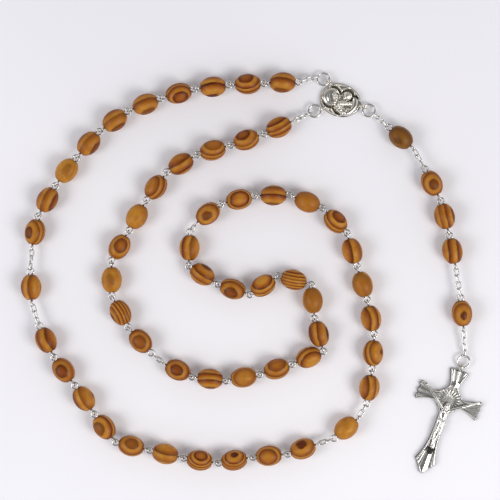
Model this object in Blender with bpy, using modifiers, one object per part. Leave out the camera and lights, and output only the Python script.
"""A five-decade rosary laid out on a table: oval wooden beads on wire eye pins, a medal and a crucifix.

The chain is a run of rigid bead units.  A unit starts with a wire eye that lies flat, and ends with an eye
that stands on edge, so each flat eye hangs in the standing eye before it.  Every hinge of the chain lies at
the centre of a standing eye, level and square to the unit that carries the eye.
Sizes and places below are in millimetres, +Z up, and each finished solid is scaled to metres.
The origin is under the middle of the laid-out rosary, on the table.
"""

import math

import bpy
from mathutils import Matrix, Vector

METRES = 0.001  # of one millimetre

# Beads and their eye pins
BEAD_LENGTH = 8.0
BEAD_RADIUS = 3.25
BEAD_FACE_RADIUS = 1.4
EYE_RADIUS = 1.0  # to the middle of the wire
WIRE_RADIUS = 0.28
EYE_REACH = 1.1  # from a bead's end face to the centre of its eye
EYE_GAP_TAUT = 1.0  # from a standing eye's centre to the centre of the flat eye in it
EYE_GAP_SLACK = 0.7
EYE_GAP_DROP = 1.2
LINK_PITCH = 2.2  # one small link of the chain stretches beside the Our Father beads
ROD_RADIUS = 0.24

# Jump rings
JUMP_RADIUS = 1.95
JUMP_WIRE_RADIUS = 0.35

# Heights above the table
BEAD_HEIGHT = BEAD_RADIUS
METAL_HEIGHT = 1.5  # the bails of the medal and the crucifix, and the jump rings in them

# The plan below is drawn about its own origin, and this point of it is the middle of the finished rosary
PLAN_MIDDLE = Vector((0.517, -0.027, 0.0))

# Centre medal
MEDAL_CENTRE = Vector((28.9, 55.4, 0.0)) - PLAN_MIDDLE
MEDAL_HEADING = -16.0  # degrees, from the two upper bails towards the lower one
MEDAL_HALF_LENGTH = 6.8
MEDAL_HALF_WIDTH = 5.4
MEDAL_RIM_HEIGHT = 1.7
MEDAL_HEIGHT = 2.7
BAIL_RADIUS = 0.95
BAIL_WIRE_RADIUS = 0.32
BAIL_DISTANCE = 1.1  # from the medal's edge to the centre of a bail
FIRST_BAIL_ANGLE = 137.0  # degrees round the medal from its heading
FIFTH_BAIL_ANGLE = 222.0
FIRST_RING_HEADING = 162.0  # degrees in plan, from a bail to the far side of its jump ring
FIFTH_RING_HEADING = 192.0
DROP_RING_HEADING = -38.0

# Crucifix
CRUCIFIX_HEADING = -111.0  # degrees in plan, from its top to its foot
CRUCIFIX_RING_HEADING = -106.0
CRUCIFIX_LENGTH = 35.4
CROSSING = 10.4  # from the top end to the middle of the arms
ARM_REACH = 10.7  # from the shaft's axis to an arm's end
SHAFT_HALF_WIDTH = 1.7
FLARE_LENGTH = 5.2
FLARE_HALF_WIDTH = 3.1
FLARE_TIP = 0.6
FOOT_FLARE_LENGTH = 8.5
FOOT_HALF_WIDTH = 3.4
FOOT_TIP = 4.0
CROSS_THICKNESS = 1.7

# Facets of the round shapes
BEAD_SIDES = 9
EYE_SIDES = 8
WIRE_SIDES = 3
JUMP_SIDES = 16
MEDAL_SIDES = 28

# The laid-out loop in plan, from the start of bead 1 to past the end of bead 54
LOOP_ROUTE = [
    (15.5, 61), (4, 60.5), (-7, 60), (-19, 58.5), (-29.5, 55.5), (-39.5, 51.5), (-48.5, 45),
    (-55.5, 37), (-62, 28.5), (-68, 18), (-70, 8), (-70.5, -0.5), (-70, -10.5), (-67.5, -17.5), (-63, -27),
    (-56, -36.5), (-49.5, -46), (-43, -54.5), (-32, -57), (-21, -59.5), (-9.5, -61), (1.5, -59),
    (12.5, -58), (22.5, -54.5), (26, -53.5), (34, -47.5), (37.5, -41), (39, -30.5), (39.5, -19),
    (37, -7.5), (33.5, 3.5), (30, 14), (21.5, 21.5), (11, 25), (1, 24.5), (-9.5, 22), (-17, 16.5),
    (-19.5, 12), (-19.5, 1.5), (-10, -4), (0.5, -7), (9, -1), (19.5, -4), (20.5, -15), (25, -23.5),
    (15.5, -28.5), (5, -32), (-5.5, -34.5), (-16.5, -34), (-26.5, -30), (-31, -26.5), (-38.5, -18.5),
    (-44, -9), (-45, 2), (-40, 11.5), (-34, 22), (-27.5, 31.5), (-17.5, 37.5), (-7, 40.5), (3.5, 44),
    (13.5, 48.5), (20, 50.5),
]
# The drop in plan, from the start of its first bead to past its last bead
DROP_ROUTE = [
    (44.6, 46.2), (52.5, 39.5), (56, 32.5), (61, 22.5), (63.7, 11.3), (66, -0.3),
    (67.3, -9.3), (68.3, -19.5), (68.6, -26),
]
CURVE_STEPS = 24  # points of the smooth curve between two route points

# How many small links come before a bead, by its number in the chain
LINKS_BEFORE = {1: 3, 11: 3, 12: 3, 22: 2, 23: 2, 33: 1, 45: 2, 55: 3, 56: 3, 59: 4}
LINKS_AFTER = {54: 1, 59: 4}
LOOP_BEADS = range(1, 55)
DROP_BEADS = range(55, 60)
SLACK_BEADS = range(33, 45)  # these lie bunched up, each with its eye pushed into the one before
OUR_FATHER_NAMES = {
    11: "our_father_bead_1",
    22: "our_father_bead_2",
    33: "our_father_bead_3",
    44: "our_father_bead_4",
    55: "drop_our_father_bead_1",
    59: "drop_our_father_bead_2",
}
DECADE_STARTS = (1, 12, 23, 34, 45)
PAIRED_BEADS = (5, 6)  # of each decade: one unit, which keeps the model inside its limit of 60 nodes

Z = Vector((0.0, 0.0, 1.0))


def material(name, colour, roughness, metallic):
    made = bpy.data.materials.new(name)
    made.use_nodes = True
    shader = made.node_tree.nodes["Principled BSDF"]
    shader.inputs["Base Color"].default_value = (*colour, 1.0)
    shader.inputs["Roughness"].default_value = roughness
    shader.inputs["Metallic"].default_value = metallic
    return made


# Layout


def heading(degrees):
    """The level unit vector at an angle from +X."""
    angle = math.radians(degrees)
    return Vector((math.cos(angle), math.sin(angle), 0.0))


def on_plan(route):
    """The points of a route, at bead height."""
    return [Vector((x, y, BEAD_HEIGHT)) - PLAN_MIDDLE for x, y in route]


def smooth_curve(points):
    """A Catmull-Rom curve through points, as closely spaced points."""
    padded = [points[0], *points, points[-1]]
    curve = []
    for a, b, c, d in zip(padded, padded[1:], padded[2:], padded[3:]):
        for step in range(CURVE_STEPS):
            t = step / CURVE_STEPS
            line = 2 * b + (c - a) * t
            bend = (2 * a - 5 * b + 4 * c - d) * t**2 + (3 * b - a - 3 * c + d) * t**3
            curve.append((line + bend) / 2)
    curve.append(points[-1])
    return curve


class Walk:
    """Steps along a curve in straight chords of given length."""

    def __init__(self, curve):
        self.curve = curve
        self.index = 0
        self.place = curve[0].copy()

    def step(self, length):
        start = self.place
        while (self.curve[self.index + 1] - start).length < length:
            self.index += 1
        near, far = self.curve[self.index], self.curve[self.index + 1]
        low, high = 0.0, 1.0
        for _ in range(40):
            middle = (low + high) / 2
            self.place = near.lerp(far, middle)
            if (self.place - start).length < length:
                low = middle
            else:
                high = middle
        return start, self.place.copy()


class Unit:
    """One rigid piece of the chain: where its beads, eyes and rods are."""

    def __init__(self, name):
        self.name = name
        self.beads = []  # (centre, heading)
        self.eyes = []  # (centre, normal)
        self.rods = []  # (start, end)
        self.hinge = None
        self.end = None  # the centre of the standing eye at its far end
        self.end_heading = None


def level_normal(direction):
    """The level unit vector square to a direction, to its left."""
    return Z.cross(direction).normalized()


def eye_gap(number):
    if number in DROP_BEADS:
        return EYE_GAP_DROP
    return EYE_GAP_SLACK if number in SLACK_BEADS else EYE_GAP_TAUT


def unit_name(number):
    """The name of the unit that holds a bead, and whether the bead is the second of a pair."""
    if number in OUR_FATHER_NAMES:
        return OUR_FATHER_NAMES[number], False
    if number in DROP_BEADS:
        return f"drop_hail_mary_bead_{number - DROP_BEADS[0]}", False
    start = max(s for s in DECADE_STARTS if s <= number)
    decade, place = DECADE_STARTS.index(start) + 1, number - start + 1
    if place in PAIRED_BEADS:
        first, second = PAIRED_BEADS
        return f"decade_{decade}_beads_{first:02d}_{second:02d}", place == second
    return f"decade_{decade}_bead_{place:02d}", False


def lay_chain(numbers, start, route):
    """The units of one branch.  Each bead's pitch is its length, two eyes and the gap to the next eye."""
    level_start = Vector((start.x, start.y, BEAD_HEIGHT))
    walk = Walk(smooth_curve([level_start, *on_plan(route)]))
    walk.place = start
    units = []
    for number in numbers:
        name, second_of_pair = unit_name(number)
        unit = units[-1] if second_of_pair else Unit(name)
        links = LINKS_BEFORE.get(number, 0)
        if links:
            start, end = walk.step(links * LINK_PITCH)
            on_ring = number == numbers[0]
            normal = level_normal(end - start) if on_ring else Z.copy()
            unit.eyes.append((start, normal))
            direction = (end - start).normalized()
            unit.rods.append((start + direction * EYE_RADIUS, end - direction * EYE_RADIUS))
        pitch = BEAD_LENGTH + 2 * EYE_REACH + eye_gap(number)
        start, end = walk.step(pitch)
        direction = (end - start).normalized()
        unit.eyes.append((start, Z.copy()))
        unit.beads.append((start + direction * (EYE_REACH + BEAD_LENGTH / 2), direction))
        if second_of_pair:
            unit.rods.append((unit.end - unit.end_heading * EYE_REACH, start + direction * EYE_REACH))
        unit.end = start + direction * (BEAD_LENGTH + 2 * EYE_REACH)
        unit.end_heading = direction
        unit.eyes.append((unit.end, level_normal(direction)))
        if not second_of_pair:
            units.append(unit)
    return units


def add_tail(unit, links):
    """Links after a branch's last bead, straight on in plan and down to metal height."""
    drop = METAL_HEIGHT - unit.end.z
    reach = math.sqrt((links * LINK_PITCH) ** 2 - drop**2)
    root = unit.end - unit.end_heading * EYE_RADIUS
    unit.end = unit.end + unit.end_heading * reach + Z * drop
    unit.rods.append((root, unit.end - (unit.end - root).normalized() * EYE_RADIUS))
    unit.eyes.append((unit.end, level_normal(unit.end_heading)))


def medal_point(angle, reach):
    """A point of the medal's plane, at metal height, beyond its edge by reach in a direction round it."""
    turn = math.radians(angle)
    edge = 1 / math.hypot(math.cos(turn) / MEDAL_HALF_LENGTH, math.sin(turn) / MEDAL_HALF_WIDTH)
    return MEDAL_CENTRE + heading(MEDAL_HEADING + angle) * (edge + reach) + Z * METAL_HEIGHT


class Layout:
    """Every place in the rosary that more than one piece depends on."""

    def __init__(self):
        self.bails = {
            "first": (medal_point(FIRST_BAIL_ANGLE, BAIL_DISTANCE), heading(FIRST_RING_HEADING)),
            "fifth": (medal_point(FIFTH_BAIL_ANGLE, BAIL_DISTANCE), heading(FIFTH_RING_HEADING)),
            "drop": (medal_point(0.0, BAIL_DISTANCE), heading(DROP_RING_HEADING)),
        }
        loop = self.branch("first", LOOP_BEADS, LOOP_ROUTE)
        drop = self.branch("drop", DROP_BEADS, DROP_ROUTE)
        add_tail(loop[-1], LINKS_AFTER[LOOP_BEADS[-1]])
        add_tail(drop[-1], LINKS_AFTER[DROP_BEADS[-1]])
        self.units = loop + drop
        away = heading(CRUCIFIX_RING_HEADING)
        self.crucifix_ring = (drop[-1].end + away * JUMP_RADIUS, away)
        self.crucifix_bail = drop[-1].end + away * 2 * JUMP_RADIUS
        self.hinges = self.list_hinges(loop, drop)

    def branch(self, bail_name, numbers, route):
        """A branch whose first eye is threaded on the far side of its jump ring."""
        bail, away = self.bails[bail_name]
        return lay_chain(numbers, bail + away * 2 * JUMP_RADIUS, route)

    def list_hinges(self, loop, drop):
        """(name, parent, child, place, level axis) of each hinge, from the medal outwards.

        The axes change side in pairs, so that hinges turned all one way fold the chain into waves.
        """
        hinges = []
        for bail_name, units in (("first", loop), ("drop", drop)):
            ring = RING_NAMES[bail_name]
            bail, away = self.bails[bail_name]
            links = [("medal", ring, bail, away), (ring, units[0].name, units[0].eyes[0][0], away)]
            for parent, child in zip(units, units[1:]):
                links.append((parent.name, child.name, parent.end, parent.end_heading))
            hinges.append(links)
        last = drop[-1]
        hinges[-1].append((last.name, "crucifix_jump_ring", last.end, last.end_heading))
        hinges[-1].append(("crucifix_jump_ring", "crucifix", self.crucifix_bail, self.crucifix_ring[1]))
        bail, away = self.bails["fifth"]
        hinges.append([("medal", RING_NAMES["fifth"], bail, away)])
        listed = []
        for links in hinges:
            for index, (parent, child, place, direction) in enumerate(links):
                side = 1.0 if index % 4 in (0, 3) else -1.0
                listed.append((f"{child}_swing", parent, child, place, level_normal(direction) * side))
        return listed


RING_NAMES = {
    "first": "first_decade_jump_ring",
    "fifth": "fifth_decade_jump_ring",
    "drop": "drop_jump_ring",
}


# Shapes


def as_object(name, mesh, matrix=None):
    made = bpy.data.objects.new(name, mesh)
    bpy.context.scene.collection.objects.link(made)
    if matrix is not None:
        mesh.transform(matrix)
    return made


def solid_mesh(made):
    """An object's shape with its modifiers, as a mesh at its place, and the object is removed."""
    bpy.context.view_layer.update()
    graph = bpy.context.evaluated_depsgraph_get()
    mesh = bpy.data.meshes.new_from_object(made.evaluated_get(graph))
    mesh.transform(made.matrix_world)
    bpy.data.objects.remove(made)
    return mesh


def turned(profile, sides):
    """A solid turned about Z from (radius, height) points, top to bottom."""
    mesh = bpy.data.meshes.new("profile")
    points = [(radius, 0.0, height) for radius, height in profile]
    mesh.from_pydata(points, [(i, i + 1) for i in range(len(points) - 1)], [])
    made = as_object("turned", mesh)
    screw = made.modifiers.new("turn", "SCREW")
    screw.steps = screw.render_steps = sides
    screw.use_merge_vertices = True
    screw.merge_threshold = 0.01
    return solid_mesh(made)


def along(start, direction, up=Z):
    """The matrix that takes +Z to a direction and stands at a start."""
    side = up.cross(direction)
    if side.length < 1e-6:
        side = Vector((1.0, 0.0, 0.0))
    side.normalize()
    rows = Matrix((side, direction.cross(side), direction)).transposed()
    return Matrix.Translation(start) @ rows.to_4x4()


def ring(centre, normal, radius, wire, sides=EYE_SIDES):
    bpy.ops.mesh.primitive_torus_add(
        major_radius=radius, minor_radius=wire, major_segments=sides, minor_segments=WIRE_SIDES
   )
    made = bpy.context.object
    made.matrix_world = along(centre, normal.normalized(), Vector((0.6, 0.8, 0.0)))
    return made


def rod(start, end, radius, sides=6):
    direction = end - start
    bpy.ops.mesh.primitive_cylinder_add(vertices=sides, radius=radius, depth=direction.length)
    made = bpy.context.object
    made.matrix_world = along((start + end) / 2, direction.normalized(), Vector((0.6, 0.8, 0.0)))
    return made


def bead(centre, direction):
    """An oval bead with flat end faces, about its pin."""
    half = BEAD_LENGTH / 2
    shoulder = 0.55 * half
    shoulder_radius = 0.87 * BEAD_RADIUS
    upper = [(0.0, half), (BEAD_FACE_RADIUS, half), (shoulder_radius, shoulder)]
    lower = [(radius, -height) for radius, height in reversed(upper)]
    mesh = turned([*upper, (BEAD_RADIUS, 0.0), *lower], BEAD_SIDES)
    return as_object("bead", mesh, along(centre, direction))


def joined(name, pieces, origin, look, collection):
    """One closed solid from overlapping pieces, with its origin on its hinge."""
    base, *others = pieces
    for other in others:
        union = base.modifiers.new("join", "BOOLEAN")
        union.operation = "UNION"
        union.object = other
    mesh = solid_mesh(base)
    for other in others:
        bpy.data.objects.remove(other)
    mesh.name = name
    mesh.transform(Matrix.Scale(METRES, 4) @ Matrix.Translation(-origin))
    mesh.materials.clear()
    mesh.materials.append(look)
    mesh.shade_smooth()
    mesh.set_sharp_from_angle(angle=math.radians(40.0))
    made = bpy.data.objects.new(name, mesh)
    made.location = origin * METRES
    collection.objects.link(made)
    return made


# Pieces


def bail(centre, away, root):
    """A cast loop on edge at a piece's rim, with a neck from a point inside the piece."""
    loop = ring(centre, level_normal(away), BAIL_RADIUS, BAIL_WIRE_RADIUS)
    neck = rod(root, centre - away * BAIL_RADIUS, BAIL_WIRE_RADIUS * 1.3)
    return [loop, neck]


def make_unit(unit, origin, look, collection):
    pieces = [bead(centre, direction) for centre, direction in unit.beads]
    pieces += [ring(centre, normal, EYE_RADIUS, WIRE_RADIUS) for centre, normal in unit.eyes]
    pieces += [rod(start, end, ROD_RADIUS) for start, end in unit.rods]
    joined(unit.name, pieces, origin, look, collection)


def make_medal(layout, look, collection):
    """A domed oval with a rim, and three bails."""
    profile = [
        (0.0, MEDAL_HEIGHT),
        (0.45, MEDAL_HEIGHT * 0.96),
        (0.76, MEDAL_HEIGHT * 0.78),
        (0.86, MEDAL_RIM_HEIGHT * 0.85),
        (0.96, MEDAL_RIM_HEIGHT),
        (1.0, MEDAL_RIM_HEIGHT * 0.7),
        (0.98, 0.0),
        (0.0, 0.0),
    ]
    oval = turned([(radius * MEDAL_HALF_LENGTH, height) for radius, height in profile], MEDAL_SIDES)
    oval.transform(Matrix.Diagonal((1.0, MEDAL_HALF_WIDTH / MEDAL_HALF_LENGTH, 1.0, 1.0)))
    turn = Matrix.Rotation(math.radians(MEDAL_HEADING), 4, "Z")
    pieces = [as_object("oval", oval, Matrix.Translation(MEDAL_CENTRE) @ turn)]
    for centre, away in layout.bails.values():
        inward = MEDAL_CENTRE + Z * METAL_HEIGHT - centre
        pieces += bail(centre, away, centre + inward.normalized() * (BAIL_DISTANCE + 1.0))
    return joined("medal", pieces, MEDAL_CENTRE, look, collection)


def flared_end(reach, flare, half_width, tip):
    """Half of an arm's outline, from its root outwards: a straight stretch, then a flare and a pointed end."""
    return [
        (SHAFT_HALF_WIDTH, SHAFT_HALF_WIDTH),
        (reach - flare, SHAFT_HALF_WIDTH * 1.05),
        (reach - tip, half_width),
        (reach, 0.0),
    ]


def cross_outline():
    """The cross in its own plan: +X towards its foot, from the crossing."""
    halves = [flared_end(CRUCIFIX_LENGTH - CROSSING, FOOT_FLARE_LENGTH, FOOT_HALF_WIDTH, FOOT_TIP)]
    for reach in (ARM_REACH, CROSSING, ARM_REACH):
        halves.append(flared_end(reach, FLARE_LENGTH, FLARE_HALF_WIDTH, FLARE_TIP))
    outline = []
    for quarter, half in enumerate(halves):
        arm = [(x, -y) for x, y in half[1:]] + [(x, y) for x, y in reversed(half[:-1])]
        turn = Matrix.Rotation(quarter * math.pi / 2, 2)
        outline += [turn @ Vector(point) for point in arm]
    return outline


def plate(outline, thickness, bevel):
    """A flat plate on z = 0, from a filled 2D curve, with its top edge rounded off."""
    data = bpy.data.curves.new("outline", "CURVE")
    data.dimensions = "2D"
    data.fill_mode = "BOTH"
    data.extrude = thickness / 2
    spline = data.splines.new("POLY")
    spline.points.add(len(outline) - 1)
    for point, place in zip(spline.points, outline):
        point.co = (place.x, place.y, 0.0, 1.0)
    spline.use_cyclic_u = True
    flat = bpy.data.objects.new("plate", data)
    bpy.context.scene.collection.objects.link(flat)
    flat.location.z = thickness / 2
    mesh = solid_mesh(flat)
    made = as_object("plate", mesh)
    weld = made.modifiers.new("weld", "WELD")
    weld.merge_threshold = 0.01
    round_off = made.modifiers.new("round_off", "BEVEL")
    round_off.width = bevel
    round_off.segments = 1
    round_off.limit_method = "ANGLE"
    round_off.angle_limit = math.radians(60.0)
    return as_object("plate", solid_mesh(made))


def ball(centre, radius, stretch, turn):
    bpy.ops.mesh.primitive_uv_sphere_add(segments=10, ring_count=6, radius=radius)
    made = bpy.context.object
    made.matrix_world = Matrix.Translation(centre) @ turn @ Matrix.Diagonal((*stretch, 1.0))
    return made


def make_crucifix(layout, look, collection):
    """A cross with flared ends, a plain figure on it, and a bail on its top end."""
    down = heading(CRUCIFIX_HEADING)
    across = level_normal(down)
    top = layout.crucifix_bail + down * BAIL_DISTANCE
    crossing = Vector((top.x, top.y, 0.0)) + down * CROSSING
    turn = Matrix.Rotation(math.radians(CRUCIFIX_HEADING), 4, "Z")
    flat = plate(cross_outline(), CROSS_THICKNESS, 0.3)
    flat.matrix_world = Matrix.Translation(crossing) @ turn
    bed = crossing + Z * CROSS_THICKNESS

    def on_cross(x, y, height=0.0):
        return bed + down * x + across * y + Z * height

    pieces = [flat]
    pieces += [
        ball(on_cross(1.6, 0.0, 0.4), 1.15, (1.1, 0.9, 0.9), turn),
        ball(on_cross(5.2, 0.0, 0.1), 1.35, (2.3, 1.0, 0.8), turn),
        rod(on_cross(3.2, 0.8), on_cross(-2.1, 9.0), 0.5),
        rod(on_cross(3.2, -0.8), on_cross(-2.1, -9.0), 0.5),
        rod(on_cross(7.0, 0.0), on_cross(15.5, 0.0), 0.8, 8),
    ]
    inside = top + down * 1.2
    pieces += bail(layout.crucifix_bail, -layout.crucifix_ring[1], Vector((inside.x, inside.y, 1.1)))
    joined("crucifix", pieces, layout.crucifix_bail, look, collection)


def make_jump_ring(name, centre, origin, look, collection):
    made = ring(centre, Z, JUMP_RADIUS, JUMP_WIRE_RADIUS, JUMP_SIDES)
    joined(name, [made], origin, look, collection)


def build():
    for old in list(bpy.data.objects):
        bpy.data.objects.remove(old)
    collection = bpy.data.collections.new("rosary")
    bpy.context.scene.collection.children.link(collection)
    wood = material("turned_wood", (0.42, 0.19, 0.05), 0.45, 0.0)
    wire = material("bright_wire", (0.72, 0.71, 0.69), 0.25, 1.0)
    silver = material("antique_silver", (0.55, 0.54, 0.5), 0.35, 1.0)

    layout = Layout()
    origins = {child: place for _, _, child, place, _ in layout.hinges}
    make_medal(layout, silver, collection)
    for key, (centre, away) in layout.bails.items():
        make_jump_ring(RING_NAMES[key], centre + away * JUMP_RADIUS, centre, wire, collection)
    for unit in layout.units:
        make_unit(unit, origins[unit.name], wood, collection)
    centre = layout.crucifix_ring[0]
    make_jump_ring("crucifix_jump_ring", centre, origins["crucifix_jump_ring"], wire, collection)
    make_crucifix(layout, silver, collection)
    return layout


layout = build()
